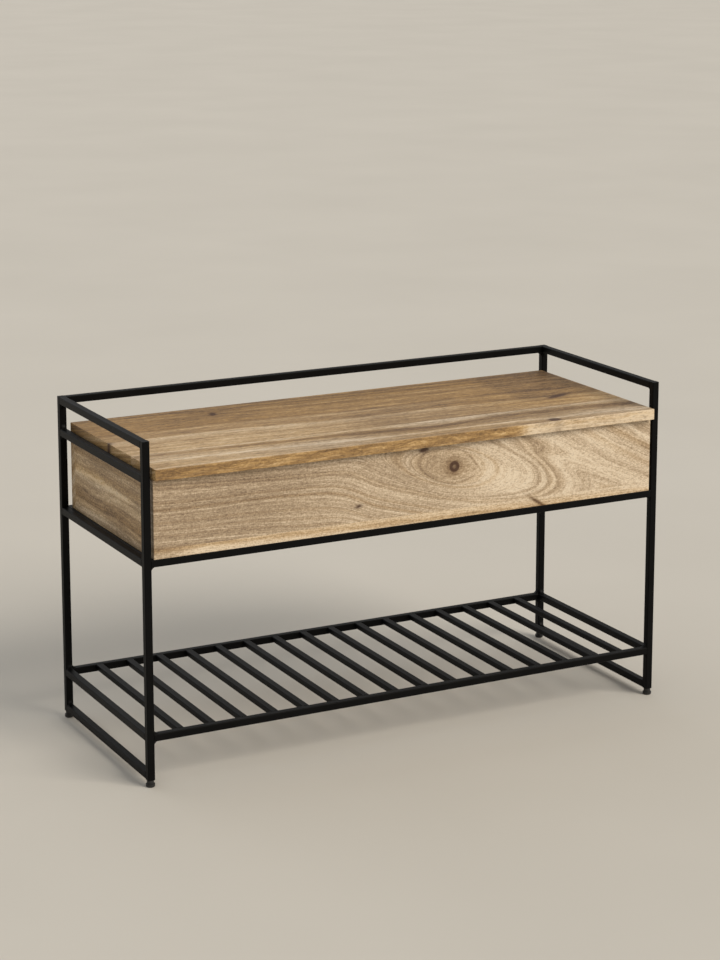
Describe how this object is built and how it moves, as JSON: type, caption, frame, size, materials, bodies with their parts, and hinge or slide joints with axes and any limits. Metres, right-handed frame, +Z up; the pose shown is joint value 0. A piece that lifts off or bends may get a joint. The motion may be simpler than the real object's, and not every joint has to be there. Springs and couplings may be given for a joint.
{
  "type": "entryway bench",
  "caption": "Long low bench: a black square-tube frame with arm and back rails, a wooden storage box with a hinged lid for a seat, and a slatted shoe shelf.",
  "frame": {"origin": "on the floor, at the middle of the bench's bounding box", "axes": "+X along the bench from its left to its right, +Y from front to back, +Z up"},
  "size_m": [1.0026, 0.4034, 0.588],
  "materials": {
    "powder_coat": "matt black powder coat on mild-steel tube",
    "foot_plastic": "moulded black nylon",
    "box_wood": "solid mango, clear matt lacquer",
    "lid_wood": "edge-glued solid mango, clear matt lacquer",
    "hinge_steel": "nickel-plated pressed steel",
    "screw_steel": "zinc-plated steel",
    "bumper_rubber": "soft black rubber"
  },
  "bodies": {
    "frame": {"leg_front_left": "powder_coat", "leg_back_left": "powder_coat", "floor_rail_left": "powder_coat", "shelf_rail_left": "powder_coat", "box_rail_left": "powder_coat", "lid_side_rail_left": "powder_coat", "arm_rail_left": "powder_coat", "box_bearer_left": "powder_coat", "leg_front_right": "powder_coat", "leg_back_right": "powder_coat", "floor_rail_right": "powder_coat", "shelf_rail_right": "powder_coat", "box_rail_right": "powder_coat", "lid_side_rail_right": "powder_coat", "arm_rail_right": "powder_coat", "box_bearer_right": "powder_coat", "box_end_bearers": "powder_coat", "shelf_rail_front": "powder_coat", "shelf_rail_back": "powder_coat", "box_rail_front": "powder_coat", "box_rail_back": "powder_coat", "back_top_rail": "powder_coat", "shelf_slat_01": "powder_coat", "shelf_slat_02": "powder_coat", "shelf_slat_03": "powder_coat", "shelf_slat_04": "powder_coat", "shelf_slat_05": "powder_coat", "shelf_slat_06": "powder_coat", "shelf_slat_07": "powder_coat", "shelf_slat_08": "powder_coat", "shelf_slat_09": "powder_coat", "shelf_slat_10": "powder_coat", "shelf_slat_11": "powder_coat", "shelf_slat_12": "powder_coat", "shelf_slat_13": "powder_coat", "shelf_slat_14": "powder_coat", "shelf_slat_15": "powder_coat", "shelf_slat_16": "powder_coat", "leg_plugs": "foot_plastic", "box_front": "box_wood", "box_back": "box_wood", "box_left": "box_wood", "box_right": "box_wood", "box_bottom": "box_wood", "hinge_left_box_leaf": "hinge_steel", "hinge_centre_box_leaf": "hinge_steel", "hinge_right_box_leaf": "hinge_steel", "hinge_pins": "hinge_steel", "hinge_screws_box": "screw_steel", "box_fixing_screws": "screw_steel", "lid_bumpers": "bumper_rubber"},
    "lid": {"lid": "lid_wood", "hinge_left_lid_leaf": "hinge_steel", "hinge_centre_lid_leaf": "hinge_steel", "hinge_right_lid_leaf": "hinge_steel", "hinge_screws_lid": "screw_steel"},
    "foot_front_left": {"foot_front_left": "foot_plastic"},
    "foot_back_left": {"foot_back_left": "foot_plastic"},
    "foot_front_right": {"foot_front_right": "foot_plastic"},
    "foot_back_right": {"foot_back_right": "foot_plastic"}
  },
  "joints": [
    {"name": "lid_hinge", "type": "hinge", "parent": "frame", "child": "lid", "pos_m": [0, 0.18573, 0.52295], "axis": [-1, 0, 0], "range_deg": [0, 69]},
    {"name": "foot_front_left_screw", "type": "slide", "parent": "frame", "child": "foot_front_left", "axis": [0, 0, -1], "range_m": [0, 0.008]},
    {"name": "foot_back_left_screw", "type": "slide", "parent": "frame", "child": "foot_back_left", "axis": [0, 0, -1], "range_m": [0, 0.008]},
    {"name": "foot_front_right_screw", "type": "slide", "parent": "frame", "child": "foot_front_right", "axis": [0, 0, -1], "range_m": [0, 0.008]},
    {"name": "foot_back_right_screw", "type": "slide", "parent": "frame", "child": "foot_back_right", "axis": [0, 0, -1], "range_m": [0, 0.008]}
  ]
}
